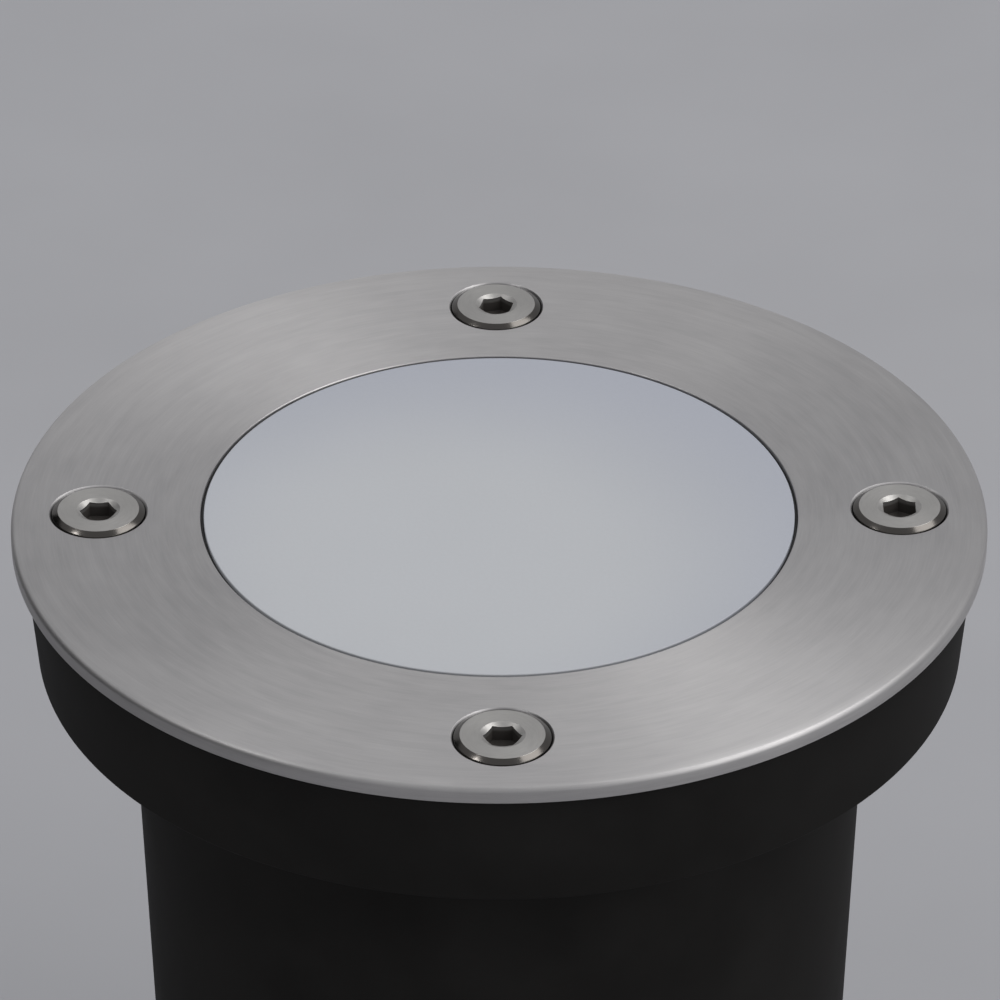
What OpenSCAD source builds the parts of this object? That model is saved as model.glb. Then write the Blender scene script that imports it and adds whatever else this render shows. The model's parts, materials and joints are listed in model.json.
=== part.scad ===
// Recessed ground light, round, with a clamped flush glass.
// The frame stands at the centre of the sleeve's foot, +Z up, millimetres.

/* [Overall] */
// Height from the sleeve's foot to the top of the trim ring
total_h = 140; // [138:1:200]

/* [Trim ring] */
// Outer diameter of the stainless trim ring
ring_d = 120; // [117:0.5:140]
// Thickness of the trim ring
ring_t = 2.1; // [1.8:0.1:3.5]
// Width of the ring's face, from its rim to its window
face_w = 23.25; // [22:0.05:27]
// Radius of the ring's rounded upper rim
ring_rim_r = 0.6; // [0.5:0.1:1.6]
// Radius of the ring's small rounded edges
ring_edge_r = 0.25; // [0.1:0.05:0.4]
// Distance from the ring's rim in to the screws' centres
screw_inset = 10.7; // [9.8:0.1:11]

/* [Trim screws] */
// Thread diameter of the trim screws
screw_d = 6; // [5:0.5:6]
// Length of a trim screw with its head
screw_l = 12; // [9:1:14]
// Diameter of the head's cone where it meets the ring's top face
cone_d = 12; // [11.7:0.1:12.4]
// Outer diameter of the head's short wall
head_d = 11.5; // [11.2:0.1:11.6]
// Width of the bevel round the head's flat top
bevel_w = 0.75; // [0.4:0.05:0.9]
// Height of that bevel
bevel_h = 0.4; // [0.2:0.05:0.5]
// How far the head stands over the ring
head_proud = 0.35; // [0.2:0.05:0.4]
// Width across flats of the hexagon socket
hex_w = 4; // [3:0.5:4.5]
// Depth of the hexagon socket
hex_depth = 2.2; // [1.5:0.1:2.5]
// Diameter of the chamfer round the socket's mouth
mouth_d = 5.4; // [5.3:0.1:6]
// Room between the head's cone and the countersink
head_gap = 0.1; // [0.05:0.01:0.2]
// Room between a thread and its hole
thread_gap = 0.1; // [0.05:0.01:0.15]

/* [Glass] */
// Full thickness of the frosted glass
glass_t = 8; // [7:0.5:10]
// Width of the step that the ring clamps
glass_step = 4; // [3:0.1:4.4]
// Width of the dark line between glass and ring
seal_gap = 0.4; // [0.3:0.05:0.6]
// Radius of the glass's upper edge
glass_edge_r = 0.3; // [0.1:0.05:0.5]

/* [Glass gasket] */
// Thickness of the gasket under the ring
gasket_lip = 0.6; // [0.4:0.1:1]
// Thickness of the gasket round the glass
gasket_wall = 1.5; // [1:0.1:2]
// Thickness of the gasket under the glass
gasket_base = 1.5; // [1:0.1:2.5]
// Depth of the seal line's top below the glass's face
seal_drop = 0.5; // [0.2:0.1:1]

/* [Sleeve] */
// Room between the housing's pot and the tube, at the glass seat
tube_room = 3.7; // [3:0.05:6]
// Draft of the tube, in degrees
sleeve_draft = 1.8; // [0.5:0.1:2.2]
// Wall of the sleeve
sleeve_wall = 2.5; // [2:0.1:3]
// How far the ring stands out over the collar
ring_overhang = 1.4; // [1:0.1:2.2]
// Draft of the collar, in degrees
collar_draft = 4.9; // [1:0.1:5]
// Radius of the collar's lower rim
collar_rim_r = 0.9; // [0.5:0.1:1.5]
// Drain hole in the sleeve's foot
drain_d = 48; // [30:1:60]
// Width of a cable notch in the sleeve's wall
notch_w = 20; // [14:1:24]
// Height of a cable notch
notch_h = 26; // [20:1:34]

/* [Housing] */
// Wall of the housing's pot
pot_wall = 3; // [2.5:0.1:3.5]
// Draft of the pot, in degrees
pot_draft = 1.2; // [0.5:0.1:2]
// Thickness of the pot's floor
floor_t = 3; // [2.5:0.1:4]
// Height of the flange that sits in the collar
flange_h = 13.3; // [12:0.1:18]
// Wall of the cored flange
flange_wall = 2.2; // [1.8:0.1:2.5]
// Thickness of the flange's top plate and of the glass seat
flange_plate = 3; // [2.5:0.1:4]
// Room between flange and collar, and gasket and recess
lift_gap = 0.5; // [0.3:0.1:0.8]
// Diameter of a screw boss
boss_d = 10; // [9.6:0.1:10.4]
// Thickness of a rib in the flange
rib_t = 2; // [1.5:0.1:3]
// Ribs between two screw bosses
ribs_per_side = 3; // [1:1:5]

/* [Lamp] */
// Diameter of the reflector lamp
lamp_d = 50; // [48:0.5:52]
// Height of the lamp without its pins
lamp_h = 46.5; // [44:0.5:50]
// Room between glass and lamp
lamp_gap = 5; // [3:0.5:8]
// Diameter of the lamp's neck
neck_d = 25; // [23:0.5:27]
// Distance between the lamp's two pins
pin_pitch = 10; // [9.5:0.1:10]
// Diameter of a pin's shank
pin_d = 3.1; // [2.8:0.1:3.3]
// Diameter of a pin's head
pin_head_d = 5; // [4.6:0.1:5]
// Length of a pin
pin_l = 7.1; // [6.5:0.1:8]
// Turn that locks the lamp, in degrees
twist = 20; // [15:1:22]

/* [Lamp holder] */
// Diameter of the ceramic holder
holder_d = 32; // [31:0.5:34]
// Height of the ceramic holder
holder_h = 16; // [14:0.5:18]
// Distance between the holder's two screws
holder_pitch = 23; // [22:0.5:24]
// Thickness of the slotted top of the holder
slot_plate = 3; // [2.5:0.1:3.5]

/* [Holder bracket] */
// Thickness of the bracket's strap
strap_t = 1.2; // [1:0.1:2]
// Width of the bracket's strap
strap_w = 20; // [18:0.5:22]
// Height of the bracket
strap_h = 14; // [13:0.5:20]
// Inner radius of the bracket's bends
bend_r = 1.5; // [1:0.1:2]

/* [Terminal block] */
// Length of the three-pole block
block_l = 25; // [22:0.5:28]
// Width of the block
block_w = 14; // [12:0.5:15]
// Height of the block
block_h = 11; // [9:0.5:11.5]

/* [Leads] */
// Diameter of an internal lead with its sleeve
lead_d = 2.2; // [1.6:0.1:2.4]
// Radius of a lead's bend along its middle
lead_bend_r = 5; // [4:0.5:5.5]

/* [Cable gland] */
// Thread diameter of the cable gland
gland_d = 16; // [14:0.5:18]
// Width across flats of the gland's hexagons
gland_hex_w = 20; // [20:0.5:24]
// Height of the gland body's hexagon
gland_hex_h = 5; // [4:0.5:6]
// Height of the clamping nut
nut_h = 14; // [12:0.5:16]
// Height of the lock nut in the housing
locknut_h = 4.5; // [3.5:0.5:5]
// Diameter of the supply cable that the gland clamps
cable_d = 8.5; // [7.5:0.1:9]

/* [Hidden] */
$fn = 96;

// One overrun serves every cut, and one small room every pair of loose faces.
over = 1;
loose = 0.3;
snug = 0.1;

// Levels from the top down.
z_top = total_h;
z_under = z_top - ring_t;
z_shoulder = z_under - gasket_lip;
z_glass = z_top - glass_t;
z_seat = z_glass - gasket_base;
z_collar_top = z_under - loose;
z_rest = z_under - flange_h;
z_collar_foot = z_rest - sleeve_wall;
z_lamp = z_glass - lamp_gap;
z_lamp_foot = z_lamp - lamp_h;
z_holder = z_lamp_foot - loose;
z_strap = z_holder - holder_h;
z_feet = z_strap - strap_h;

// Radii of the clamped glass and what surrounds it.
ring_r = ring_d / 2;
window_r = ring_r - face_w;
screw_r = ring_r - screw_inset;
glass_r = window_r - seal_gap;
shoulder_r = window_r + glass_step;
gasket_r = shoulder_r + gasket_wall;
recess_r = gasket_r + lift_gap;

// Pot: as wide inside as the window, with the sleeve's tube round it.
bore_r = window_r + snug;
pot_r = bore_r + pot_wall;

// Sleeve: a drafted tube below a drafted collar, one wall all through.
collar_r = ring_r - ring_overhang;
sleeve_r = pot_r + tube_room + sleeve_wall;
lead_in = sleeve_wall / 4;
function sleeve_at(z) = sleeve_r - (z_collar_foot - z) * tan(sleeve_draft);
function collar_at(z) = collar_r - (z_collar_top - z) * tan(collar_draft);
function collar_in(z) = collar_at(z) - sleeve_wall;
collar_foot_r = collar_at(z_collar_foot + collar_rim_r);

// Housing: a drafted pot under a cored flange.
flange_r = collar_in(z_rest) - lift_gap;
z_floor = z_feet - locknut_h - loose;
z_base = z_floor - floor_t;
floor_fillet = pot_wall;
base_fillet = 2 * pot_wall;
screw_hole_r = screw_d / 2 + thread_gap;
screw_tip = 4 * thread_gap;
screw_hole_depth = screw_l + screw_tip;
function bore_at(z) = bore_r - (z_seat - z) * tan(pot_draft);
function pot_at(z) = pot_r - (z_seat - z) * tan(pot_draft);

// Small pan-head screws on holder and block, larger ones on bracket and earth point.
small_d = 3;
small_head_d = 5.5;
small_head_h = 1.8;
nut_low_h = 2.4;
pan_d = 4;
pan_head_d = 7.4;
pan_head_h = 2.6;
pan_grip = 4.2;
cross_w = 0.8;
cross_share = 0.6;
boss_skin = 2.2;
floor_boss_r = pan_d / 2 + boss_skin;

// Bracket: its feet reach out to the pot's wall.
wall_room = 3 * loose;
foot_end = sqrt(pow(bore_at(z_feet), 2) - pow(strap_w / 2, 2)) - wall_room;
foot_hole = foot_end - pan_head_d / 2 - loose;
leg_x = foot_hole - pan_head_d / 2 - bend_r;
strap_outer_r = bend_r + strap_t;

// Terminal block: beside the gland, half a pole off centre so that two poles face the leads.
pole_pitch = block_l / 3;
block_x = pole_pitch / 2;
block_end = block_x + block_l / 2;
block_y = sqrt(pow(bore_at(z_feet), 2) - pow(block_end, 2)) - wall_room - block_w / 2;
block_near = block_y - block_w / 2;
block_far = block_y + block_w / 2;
z_block = z_feet;
tower_share = 0.8;
tower_w = pole_pitch * tower_share;
block_base_share = 0.55;
z_block_base = z_block + block_h * block_base_share;
entry_share = 0.3;
z_entry = z_block + block_h * entry_share;
entry_r = lead_d / 2 + snug;
entry_depth = block_w / 4;
well_r = pole_pitch / 5;
well_depth = block_h / 3;
z_well = z_block + block_h - well_depth;
fixing_x = block_x + pole_pitch / 2;

// Leads leave the holder's foot over the two poles that they run to.
plate_hole_r = pole_pitch / 2 + lead_d / 2 + 5 * loose;
lead_socket = holder_h / 8;

// Earth point: a boss across the gland from the block, in line with the third pole.
earth_x = block_x + pole_pitch;
earth_y = -sqrt(pow(bore_at(z_feet) - floor_boss_r - 2 * wall_room, 2) - pow(earth_x, 2));
lug_t = 0.8;
lug_r = pan_head_d / 2 + snug;
barrel_r = lead_d / 2 + lug_t;
barrel_l = 5;
z_lug = z_entry - barrel_r;

// Lamp: rim, bowl and neck.
rim_h = 6;
front_drop = 1.2;
front_lip = 1.5;
front_t = 1.5;
neck_h = 15;
base_w = 16;
bowl_share = 0.64;
bowl_r = lamp_d * bowl_share;
pin_head_h = 2.4;

// Holder: two curved slots that lock the pins' heads.
slot_w = pin_d + 2 * loose;
slot_head_w = pin_head_d + 2 * loose;
slot_depth = pin_l + 3 * loose;
holder_edge_r = 1;

// Gland: body, washer, lock nut, seal and clamping nut on the pot's axis.
washer_t = 1.5;
gland_r = gland_d / 2;
cable_r = cable_d / 2;
gland_skin = 1.2;
gland_bore_r = cable_r + gland_skin;
z_gland_hex = z_base - washer_t;
z_gland_thread = z_gland_hex - gland_hex_h;
nut_skin = 1.6;
seal_lip = 1.4;
seal_l = 9;
seal_r = gland_bore_r - snug;
z_nut_top = z_gland_thread - loose;
z_nut = z_nut_top - nut_h;
z_seal = z_nut + nut_skin + loose;
z_thread_low = z_seal + seal_lip;
dome_r = nut_h / 3;
nut_round_share = 0.56;
nut_round_r = gland_hex_w * nut_round_share;
locknut_w = gland_hex_w + 2 * gland_skin;

// A flat ring of the given radii, turned up from its foot.
module band(inner, outer, foot, top) {
    rotate_extrude() translate([inner, foot]) square([outer - inner, top - foot]);
}

// A cylinder with its hole, standing on the given level.
module disc(radius, foot, top) {
    translate([0, 0, foot]) cylinder(r = radius, h = top - foot);
}

// A rectangle in a revolved profile with its upper outer corner rounded.
module rounded_outside(inner, outer, foot, top, corner) {
    difference() {
        translate([inner, foot]) square([outer - inner, top - foot]);
        translate([outer - corner, top - corner]) square([corner + over, corner + over]);
    }
    translate([outer - corner, top - corner]) circle(r = corner, $fn = 64);
}

// A hexagon bar given by its width across flats.
module hex_bar(width, foot, top) {
    translate([0, 0, foot]) cylinder(r = width / sqrt(3), h = top - foot, $fn = 6);
}

// The four places of the trim screws, at the front, right, back and left.
module at_screw(turn) {
    rotate([0, 0, turn]) translate([0, -screw_r, 0]) children();
}

// What a trim screw takes out of ring and boss: cone first, then the thread's hole.
module screw_cut() {
    cut_r = cone_d / 2 + head_gap;
    cone_h = cut_r - screw_hole_r;
    translate([0, 0, z_top - cone_h]) cylinder(r1 = screw_hole_r, r2 = cut_r, h = cone_h);
    disc(cut_r, z_top, z_top + over);
    disc(screw_hole_r, z_top - screw_hole_depth, z_top);
}

module mounting_sleeve() {
    color([0.075, 0.07, 0.065])
    difference() {
        rotate_extrude() {
            polygon([
                [drain_d / 2, 0],
                [sleeve_at(0), 0],
                [sleeve_r, z_collar_foot],
                [collar_foot_r - collar_rim_r, z_collar_foot],
                [collar_foot_r, z_collar_foot + collar_rim_r],
                [collar_r, z_collar_top],
                [collar_in(z_collar_top) + lead_in, z_collar_top],
                [collar_in(z_collar_top - lead_in), z_collar_top - lead_in],
                [collar_in(z_rest), z_rest],
                [sleeve_r - sleeve_wall, z_rest],
                [sleeve_at(0) - sleeve_wall, sleeve_wall],
                [drain_d / 2, sleeve_wall]
            ]);
            translate([collar_foot_r - collar_rim_r, z_collar_foot + collar_rim_r])
                circle(r = collar_rim_r, $fn = 64);
        }
        for (turn = [0, 180]) rotate([0, 0, turn]) cable_notch();
    }
}

// A mouse-hole notch with a round top, open at the foot and into the drain hole.
module cable_notch() {
    notch_len = sleeve_r + over;
    translate([0, -notch_w / 2, -over]) cube([notch_len, notch_w, notch_h - notch_w / 2 + over]);
    translate([0, 0, notch_h - notch_w / 2]) rotate([0, 90, 0]) cylinder(d = notch_w, h = notch_len);
}

module housing() {
    color([0.2, 0.2, 0.21])
    difference() {
        union() {
            rotate_extrude() housing_profile();
            for (turn = [0 : 90 : 270]) at_screw(turn) disc(boss_d / 2, z_rest, z_under);
            flange_ribs();
            floor_bosses();
        }
        disc(recess_r, z_seat, z_under + over);
        for (turn = [0 : 90 : 270]) at_screw(turn) screw_cut();
        for (side = [-1, 1]) translate([side * foot_hole, 0, 0]) boss_hole(pan_d, z_feet);
        translate([fixing_x, block_y, 0]) boss_hole(small_d, z_block);
        translate([earth_x, earth_y, 0]) boss_hole(pan_d, z_lug);
        disc(gland_r + snug, z_base - over, z_floor + over);
    }
}

// The pot, the glass seat and the flange's two walls and plate, in one profile.
module housing_profile() {
    difference() {
        union() {
            round_foot(z_base, base_fillet, pot_at(z_base), pot_at(z_base + base_fillet), pot_r, z_seat);
            translate([0, z_seat - flange_plate]) square([recess_r + flange_wall, flange_plate]);
            translate([recess_r, z_rest]) square([flange_wall, flange_h]);
            translate([recess_r, z_under - flange_plate]) square([flange_r - recess_r, flange_plate]);
            translate([flange_r - flange_wall, z_rest]) square([flange_wall, flange_h]);
        }
        round_foot(z_floor, floor_fillet, bore_at(z_floor), bore_at(z_floor + floor_fillet), bore_r, z_seat);
        translate([0, z_seat]) square([bore_r, over]);
    }
}

// Half the outline of a drafted cup with a rounded foot.
module round_foot(foot, fillet, foot_r, fillet_r, top_r, top) {
    polygon([
        [0, foot],
        [foot_r - fillet, foot],
        [fillet_r, foot + fillet],
        [top_r, top],
        [0, top]
    ]);
    translate([fillet_r - fillet, foot + fillet]) circle(r = fillet, $fn = 64);
}

// Ribs across the flange's core, evenly between the screw bosses.
module flange_ribs() {
    for (quarter = [0 : 3]) for (k = [1 : ribs_per_side]) {
        rotate([0, 0, 90 * (quarter + k / (ribs_per_side + 1))])
        translate([recess_r + flange_wall / 2, -rib_t / 2, z_rest])
        cube([flange_r - recess_r - flange_wall, rib_t, flange_h - flange_plate / 2]);
    }
}

// Bosses on the pot's floor: two under the bracket, one under the block, one for earth.
module floor_bosses() {
    for (side = [-1, 1]) translate([side * foot_hole, 0, 0]) disc(floor_boss_r, z_floor - snug, z_feet);
    translate([fixing_x, block_y, 0]) disc(floor_boss_r, z_floor - snug, z_block);
    translate([earth_x, earth_y, 0]) disc(floor_boss_r, z_floor - snug, z_lug);
}

// A blind screw hole down from a boss's top.
module boss_hole(thread_d, top) {
    disc(thread_d / 2 + snug, top - pan_grip - 2 * snug, top + over);
}

module trim_ring() {
    color([0.63, 0.62, 0.62])
    difference() {
        rotate_extrude() ring_profile();
        for (turn = [0 : 90 : 270]) at_screw(turn) screw_cut();
    }
}

// The ring's section: a round on the upper rim, smaller rounds elsewhere.
module ring_profile() {
    difference() {
        translate([window_r, z_under]) square([face_w, ring_t]);
        translate([ring_r - ring_rim_r, z_top - ring_rim_r]) square([ring_rim_r + over, ring_rim_r + over]);
        translate([ring_r - ring_edge_r, z_under - over]) square([ring_edge_r + over, ring_edge_r + over]);
        translate([window_r - over, z_top - ring_edge_r]) square([ring_edge_r + over, ring_edge_r + over]);
    }
    translate([ring_r - ring_rim_r, z_top - ring_rim_r]) intersection() {
        circle(r = ring_rim_r, $fn = 64);
        square([ring_rim_r, ring_rim_r]);
    }
    translate([ring_r - ring_edge_r, z_under + ring_edge_r]) circle(r = ring_edge_r, $fn = 48);
    translate([window_r + ring_edge_r, z_top - ring_edge_r]) circle(r = ring_edge_r, $fn = 48);
}

module glass() {
    color([0.69, 0.7, 0.72])
    rotate_extrude() {
        difference() {
            translate([0, z_shoulder]) square([glass_r, z_top - z_shoulder]);
            translate([glass_r - glass_edge_r, z_top - glass_edge_r])
                square([glass_edge_r + over, glass_edge_r + over]);
        }
        intersection() {
            translate([glass_r - glass_edge_r, z_top - glass_edge_r]) circle(r = glass_edge_r, $fn = 48);
            translate([0, z_shoulder]) square([glass_r, z_top - z_shoulder]);
        }
        translate([0, z_glass]) square([shoulder_r, z_shoulder - z_glass]);
    }
}

// Silicone profile: under the glass, round it, over its step and up into the seal line.
module glass_gasket() {
    color([0.05, 0.05, 0.05])
    rotate_extrude() {
        translate([bore_r, z_seat]) square([gasket_r - bore_r, gasket_base]);
        translate([shoulder_r, z_seat]) square([gasket_wall, z_under - z_seat]);
        translate([glass_r, z_shoulder]) square([gasket_r - glass_r, gasket_lip]);
        translate([glass_r, z_shoulder]) square([seal_gap, z_top - seal_drop - z_shoulder]);
    }
}

// Countersunk screw: cone, short wall, bevelled flat top, and a hexagon socket with a chamfered mouth.
module trim_screw(socket_turn) {
    z_head = z_top + head_proud;
    z_tip = z_head - screw_l;
    chamfer_h = (mouth_d - hex_w) / 4 + snug;
    color([0.66, 0.65, 0.64])
    difference() {
        rotate_extrude() polygon([
            [0, z_tip],
            [screw_d / 2 - screw_tip, z_tip],
            [screw_d / 2, z_tip + screw_tip],
            [screw_d / 2, z_top - (cone_d - screw_d) / 2],
            [head_d / 2, z_top - (cone_d - head_d) / 2],
            [head_d / 2, z_head - bevel_h],
            [head_d / 2 - bevel_w, z_head],
            [0, z_head]
        ]);
        rotate([0, 0, socket_turn]) hex_bar(hex_w, z_head - hex_depth, z_head + over);
        translate([0, 0, z_head - chamfer_h])
            cylinder(r1 = mouth_d / 2 - 2 * chamfer_h, r2 = mouth_d / 2 + 2 * over, h = chamfer_h + over, $fn = 48);
    }
}

// The sockets stop at different turns, as tightened screws do.
module trim_screw_front() {
    at_screw(0) trim_screw(0);
}

module trim_screw_right() {
    at_screw(90) trim_screw(-60);
}

module trim_screw_back() {
    at_screw(180) trim_screw(-165);
}

module trim_screw_left() {
    at_screw(270) trim_screw(-270);
}

// Reflector lamp: straight rim, round bowl and a neck that ends in a flat-sided base.
module lamp_body() {
    color([0.86, 0.86, 0.85])
    difference() {
        union() {
            rotate_extrude() {
                translate([0, z_lamp - rim_h]) square([lamp_d / 2, rim_h]);
                intersection() {
                    translate([lamp_d / 2 - bowl_r, z_lamp - rim_h]) circle(r = bowl_r, $fn = 128);
                    translate([0, z_lamp_foot + neck_h]) square([lamp_d / 2, lamp_h - rim_h - neck_h]);
                }
            }
            intersection() {
                disc(neck_d / 2, z_lamp_foot, z_lamp_foot + neck_h + snug);
                translate([-base_w / 2, -neck_d / 2, z_lamp_foot]) cube([base_w, neck_d, neck_h + snug]);
            }
        }
        disc(lamp_d / 2 - front_lip, z_lamp - front_t - front_drop, z_lamp + over);
    }
}

module lamp_front() {
    color([0.93, 0.93, 0.9])
    disc(lamp_d / 2 - front_lip - snug, z_lamp - front_t - front_drop, z_lamp - front_drop);
}

// Two pins with mushroom heads.
module lamp_pins() {
    color([0.75, 0.73, 0.7])
    for (side = [-1, 1]) translate([0, side * pin_pitch / 2, 0]) {
        disc(pin_d / 2, z_lamp_foot - pin_l, z_lamp_foot);
        disc(pin_head_d / 2, z_lamp_foot - pin_l, z_lamp_foot - pin_l + pin_head_h);
    }
}

// Ceramic holder: narrow curved slots over wider ones, with a round entry at the unlocked end.
module lamp_holder() {
    color([0.9, 0.88, 0.84])
    difference() {
        rotate_extrude() {
            rounded_outside(0, holder_d / 2, z_strap, z_holder, holder_edge_r);
        }
        for (side = [0, 180]) rotate([0, 0, side]) {
            pin_slot(slot_w, z_holder - slot_plate - over, z_holder + over);
            pin_slot(slot_head_w, z_holder - slot_depth, z_holder - slot_plate);
            rotate([0, 0, twist]) translate([0, pin_pitch / 2, 0])
                disc(slot_head_w / 2 + snug, z_holder - slot_depth, z_holder + over);
            translate([pole_pitch / 2, 0, 0]) disc(entry_r, z_strap - over, z_strap + lead_socket);
        }
        for (side = [-1, 1]) translate([side * holder_pitch / 2, 0, 0]) {
            disc(small_d / 2 + snug, z_strap - over, z_holder + over);
            disc(small_head_d / 2 + snug, z_holder - small_head_h, z_holder + over);
        }
    }
}

// A slot that follows the pins' turn, with a flat end just past the locked pin.
module pin_slot(width, foot, top) {
    slack = asin(width / pin_pitch);
    translate([0, 0, foot]) rotate_extrude(angle = twist + slack, start = 90 - slack)
        translate([(pin_pitch - width) / 2, 0]) square([width, top - foot]);
}

// Bent strap: a plate under the holder, two legs and two feet.
module holder_bracket() {
    color([0.7, 0.7, 0.68])
    difference() {
        translate([0, strap_w / 2, 0]) rotate([90, 0, 0]) linear_extrude(strap_w) {
            strap_half();
            mirror([1, 0]) strap_half();
        }
        disc(plate_hole_r, z_strap - strap_t - over, z_strap + over);
        for (side = [-1, 1]) {
            translate([side * holder_pitch / 2, 0, 0])
                disc(small_d / 2 + snug, z_strap - strap_t - over, z_strap + over);
            translate([side * foot_hole, 0, 0])
                disc(pan_d / 2 + snug, z_feet - over, z_feet + strap_t + over);
        }
    }
}

// Half of the strap's side view, from the middle out to one foot.
module strap_half() {
    translate([0, z_strap - strap_t]) square([leg_x - strap_outer_r, strap_t]);
    translate([leg_x - strap_outer_r, z_strap - strap_outer_r]) bend_quarter(0);
    translate([leg_x - strap_t, z_feet + strap_outer_r]) square([strap_t, strap_h - 2 * strap_outer_r]);
    translate([leg_x + bend_r, z_feet + strap_outer_r]) bend_quarter(180);
    translate([leg_x + bend_r, z_feet]) square([foot_end - leg_x - bend_r, strap_t]);
}

// A quarter of the strap's bend.
module bend_quarter(turn) {
    rotate(turn) intersection() {
        difference() {
            circle(r = strap_outer_r, $fn = 64);
            circle(r = bend_r, $fn = 64);
        }
        square([strap_outer_r, strap_outer_r]);
    }
}

// Pan-head screw with a cross recess, its head resting on the given level.
module pan_screw(shank_d, head_w, head_h, length, level) {
    cross_l = head_w * cross_share;
    difference() {
        union() {
            rotate_extrude() rounded_outside(0, head_w / 2, level, level + head_h, head_h / 2);
            disc(shank_d / 2, level - length, level + head_h / 2);
        }
        for (turn = [0, 90]) rotate([0, 0, turn])
            translate([-cross_l / 2, -cross_w / 2, level + head_h / 2]) cube([cross_l, cross_w, head_h]);
    }
}

module holder_screws() {
    grip = holder_h - small_head_h + strap_t + nut_low_h;
    color([0.7, 0.7, 0.68])
    for (side = [-1, 1]) translate([side * holder_pitch / 2, 0, 0])
        pan_screw(small_d, small_head_d, small_head_h, grip, z_holder - small_head_h);
}

// Two nuts under the bracket's plate.
module holder_nuts() {
    color([0.7, 0.7, 0.68])
    for (side = [-1, 1]) translate([side * holder_pitch / 2, 0, 0]) difference() {
        hex_bar(small_head_d, z_strap - strap_t - nut_low_h, z_strap - strap_t);
        disc(small_d / 2, z_strap - strap_t - nut_low_h - over, z_strap - strap_t + over);
    }
}

module bracket_screws() {
    color([0.7, 0.7, 0.68])
    for (side = [-1, 1]) translate([side * foot_hole, 0, 0])
        pan_screw(pan_d, pan_head_d, pan_head_h, strap_t + pan_grip, z_feet + strap_t);
}

// Three-pole block: a base with three towers, lead entries, screw wells and one fixing hole.
module terminal_block() {
    color([0.85, 0.84, 0.8])
    difference() {
        union() {
            translate([block_x - block_l / 2, block_near, z_block])
                cube([block_l, block_w, block_h * block_base_share]);
            at_poles() translate([-tower_w / 2, block_near, z_block]) cube([tower_w, block_w, block_h]);
        }
        at_poles() {
            translate([0, block_near - over, z_entry]) lead_tunnel();
            translate([0, block_far - entry_depth, z_entry]) lead_tunnel();
            at_wells() disc(well_r, z_well, z_block + block_h + over);
        }
        translate([fixing_x, block_y, 0]) {
            disc(small_d / 2 + snug, z_block - over, z_block + block_h);
            disc(small_head_d / 2 + snug, z_block_base, z_block + block_h + over);
        }
    }
}

// The three poles, along the block's length.
module at_poles() {
    for (pole = [-1 : 1]) translate([block_x + pole * pole_pitch, 0, 0]) children();
}

// The two clamping screws of one pole.
module at_wells() {
    for (side = [-1, 1]) translate([0, block_y + side * block_w / 4, 0]) children();
}

// The hole that a lead enters, along the block's width.
module lead_tunnel() {
    rotate([-90, 0, 0]) cylinder(r = entry_r, h = entry_depth + over, $fn = 32);
}

// Slotted screws in the wells.
module terminal_screws() {
    screw_top = z_well + well_depth / 2;
    color([0.75, 0.65, 0.4])
    at_poles() at_wells() difference() {
        disc(well_r - snug, z_well, screw_top);
        translate([-well_r, -cross_w / 2, screw_top - cross_w]) cube([2 * well_r, cross_w, well_depth]);
    }
}

// One screw beside the middle tower, through the base into its boss.
module terminal_fixing() {
    color([0.7, 0.7, 0.68])
    translate([fixing_x, block_y, 0])
        pan_screw(small_d, small_head_d, small_head_h, z_block_base - z_block + pan_grip, z_block_base);
}

// A lead from the holder's foot: down, round a bend and level into the block.
module drop_lead(side) {
    z_bend = z_entry + lead_bend_r;
    reach = block_near + entry_depth - snug;
    translate([side * pole_pitch / 2, 0, 0]) {
        disc(lead_d / 2, z_bend, z_strap + lead_socket - snug);
        translate([0, lead_bend_r, z_bend]) rotate([0, 0, 90]) rotate([90, 0, 0])
            rotate_extrude(angle = 90, start = 180) translate([lead_bend_r, 0]) circle(d = lead_d, $fn = 32);
        translate([0, lead_bend_r, z_entry]) rotate([-90, 0, 0])
            cylinder(d = lead_d, h = reach - lead_bend_r, $fn = 32);
    }
}

module live_lead() {
    color([0.4, 0.22, 0.12]) drop_lead(-1);
}

module neutral_lead() {
    color([0.15, 0.3, 0.6]) drop_lead(1);
}

// Earth lead: level and straight, from the third pole across to the lug.
module earth_lead() {
    from = block_near + entry_depth - snug;
    to = earth_y + lug_r + snug;
    color([0.55, 0.65, 0.15])
    translate([earth_x, from, z_entry]) rotate([90, 0, 0]) cylinder(d = lead_d, h = from - to, $fn = 32);
}

// Lug: a flat eye with a crimped barrel, in line with the lead.
module earth_lug() {
    color([0.72, 0.72, 0.7])
    translate([earth_x, earth_y, 0]) difference() {
        union() {
            disc(lug_r, z_lug, z_lug + lug_t);
            translate([-lug_t, 0, z_lug]) cube([2 * lug_t, lug_r + barrel_l, lug_t]);
            translate([0, lug_r, z_entry]) rotate([-90, 0, 0]) cylinder(r = barrel_r, h = barrel_l, $fn = 48);
        }
        disc(pan_d / 2 + snug, z_lug - over, z_lug + lug_t + over);
        translate([0, lug_r, z_entry]) rotate([-90, 0, 0])
            cylinder(r = lead_d / 2 + snug / 2, h = barrel_l + over, $fn = 48);
    }
}

module earth_screw() {
    color([0.72, 0.72, 0.7])
    translate([earth_x, earth_y, 0])
        pan_screw(pan_d, pan_head_d, pan_head_h, lug_t + pan_grip, z_lug + lug_t);
}

// Gland body: upper thread through the floor, hexagon, and lower thread, bored for the cable.
module gland_body() {
    color([0.1, 0.1, 0.1])
    difference() {
        union() {
            disc(gland_r, z_thread_low, z_floor + locknut_h);
            hex_bar(gland_hex_w, z_gland_thread, z_gland_hex);
        }
        disc(gland_bore_r, z_thread_low - over, z_floor + locknut_h + over);
    }
}

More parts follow.
